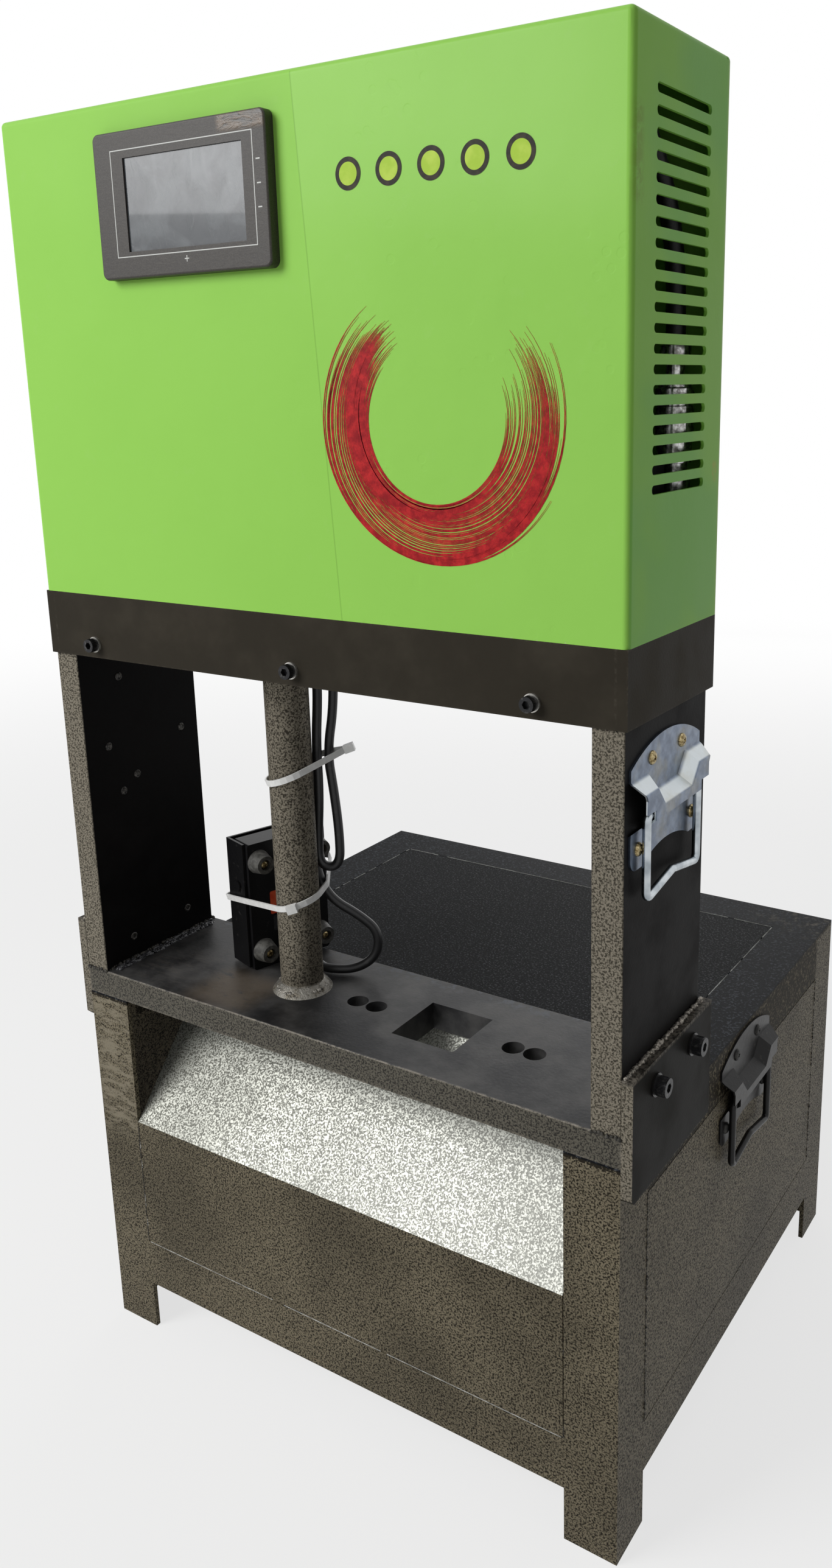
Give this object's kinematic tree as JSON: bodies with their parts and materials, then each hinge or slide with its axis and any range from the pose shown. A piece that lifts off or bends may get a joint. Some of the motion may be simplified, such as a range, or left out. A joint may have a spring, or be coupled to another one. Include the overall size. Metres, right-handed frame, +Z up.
{
  "type": "pipe punching machine",
  "caption": "Free-standing hydraulic press on a cabinet base: two-plate frame, hooded head with operator panel, ram above a slotted bed, foot switch and chest handles.",
  "frame": {"origin": "middle of the footprint, on the floor", "axes": "+Z up, +X to the right of someone facing the operator panel, -Y towards that person"},
  "size_m": [0.53, 0.457, 0.994],
  "materials": {
    "frame_paint": "hammertone enamel, dark olive grey",
    "top_paint": "coarse textured black enamel",
    "black_steel": "smooth black enamel on plate",
    "green_paint": "smooth satin enamel, light green",
    "grey_paint": "plain enamel",
    "black_fastener": "black oxide",
    "zinc": "bright zinc plate",
    "black_hardware": "black enamel over the plate",
    "brass_screw": "yellow passivated",
    "panel_plastic": "fine-grained moulding",
    "screen_glass": "dark display window with protective film",
    "cylinder_paint": "enamel",
    "chrome": "ground and plated",
    "tool_steel": "turned steel",
    "hose_rubber": "smooth rubber cover",
    "cable_rubber": "smooth soft sheath",
    "switch_paint": "semi-gloss black enamel",
    "foot_rubber": "grey-black rubber",
    "nylon": "natural white nylon"
  },
  "bodies": {
    "machine": {"beam_end_left": "black_steel", "beam_end_right": "black_steel", "beam_front": "black_steel", "beam_rear": "black_steel", "bed_plate": "black_steel", "bottom_rail_front": "frame_paint", "bottom_rail_left": "frame_paint", "bottom_rail_rear": "frame_paint", "bottom_rail_right": "frame_paint", "bracket_left": "frame_paint", "bracket_right": "frame_paint", "cable_gland": "panel_plastic", "cable_ties": "nylon", "cap_screws": "black_fastener", "chute_plate": "frame_paint", "cover_screws": "zinc", "cylinder_barrel": "cylinder_paint", "cylinder_cap": "cylinder_paint", "feet_screws": "brass_screw", "foot_switch": "switch_paint", "foot_switch_cable": "cable_rubber", "front_panel": "frame_paint", "handle_plate_lower_left": "black_hardware", "handle_plate_lower_right": "black_hardware", "handle_plate_upper_left": "zinc", "handle_plate_upper_right": "zinc", "handle_screws": "brass_screw", "head_plate": "black_steel", "housing": "green_paint", "leg_front_left": "frame_paint", "leg_front_right": "frame_paint", "leg_rear_left": "frame_paint", "leg_rear_right": "frame_paint", "oil_tank": "grey_paint", "operator_panel": "panel_plastic", "port_block": "black_steel", "post_tube": "frame_paint", "pressure_hose": "hose_rubber", "pump_motor": "grey_paint", "quick_coupler": "chrome", "rear_cover": "grey_paint", "rear_panel": "frame_paint", "rubber_feet": "foot_rubber", "screen": "screen_glass", "side_panel_left": "frame_paint", "side_panel_right": "frame_paint", "top_panel": "top_paint", "top_rail_left": "top_paint", "top_rail_rear": "top_paint", "top_rail_right": "top_paint", "upright_left": "black_steel", "upright_right": "black_steel", "washers": "zinc"},
    "ram": {"ram": "chrome", "tool_holder": "tool_steel"},
    "pedal": {"foot_pedal": "switch_paint"},
    "bail_upper_left": {"handle_bail_upper_left": "zinc"},
    "bail_upper_right": {"handle_bail_upper_right": "zinc"},
    "bail_lower_left": {"handle_bail_lower_left": "black_hardware"},
    "bail_lower_right": {"handle_bail_lower_right": "black_hardware"}
  },
  "joints": [
    {"name": "ram_slide", "type": "slide", "parent": "machine", "child": "ram", "axis": [0, 0, -1], "range_m": [0, 0.13]},
    {"name": "bail_upper_left_hinge", "type": "hinge", "parent": "machine", "child": "bail_upper_left", "pos_m": [-0.2537, -0.1605, 0.5505], "axis": [0, 1, 0], "range_deg": [0, 100]},
    {"name": "bail_upper_right_hinge", "type": "hinge", "parent": "machine", "child": "bail_upper_right", "pos_m": [0.2537, -0.1605, 0.5505], "axis": [0, -1, 0], "range_deg": [0, 100]},
    {"name": "bail_lower_left_hinge", "type": "hinge", "parent": "machine", "child": "bail_lower_left", "pos_m": [-0.2537, 0.0055, 0.266], "axis": [0, 1, 0], "range_deg": [0, 100]},
    {"name": "bail_lower_right_hinge", "type": "hinge", "parent": "machine", "child": "bail_lower_right", "pos_m": [0.2537, 0.0055, 0.266], "axis": [0, -1, 0], "range_deg": [0, 100]},
    {"name": "pedal_hinge", "type": "hinge", "parent": "machine", "child": "pedal", "pos_m": [-0.12126, -0.11608, 0.41], "axis": [-0.309, -0.9511, 0], "range_deg": [0, 4], "stiffness_Nm_per_rad": 8, "springref_deg": -2.86}
  ]
}
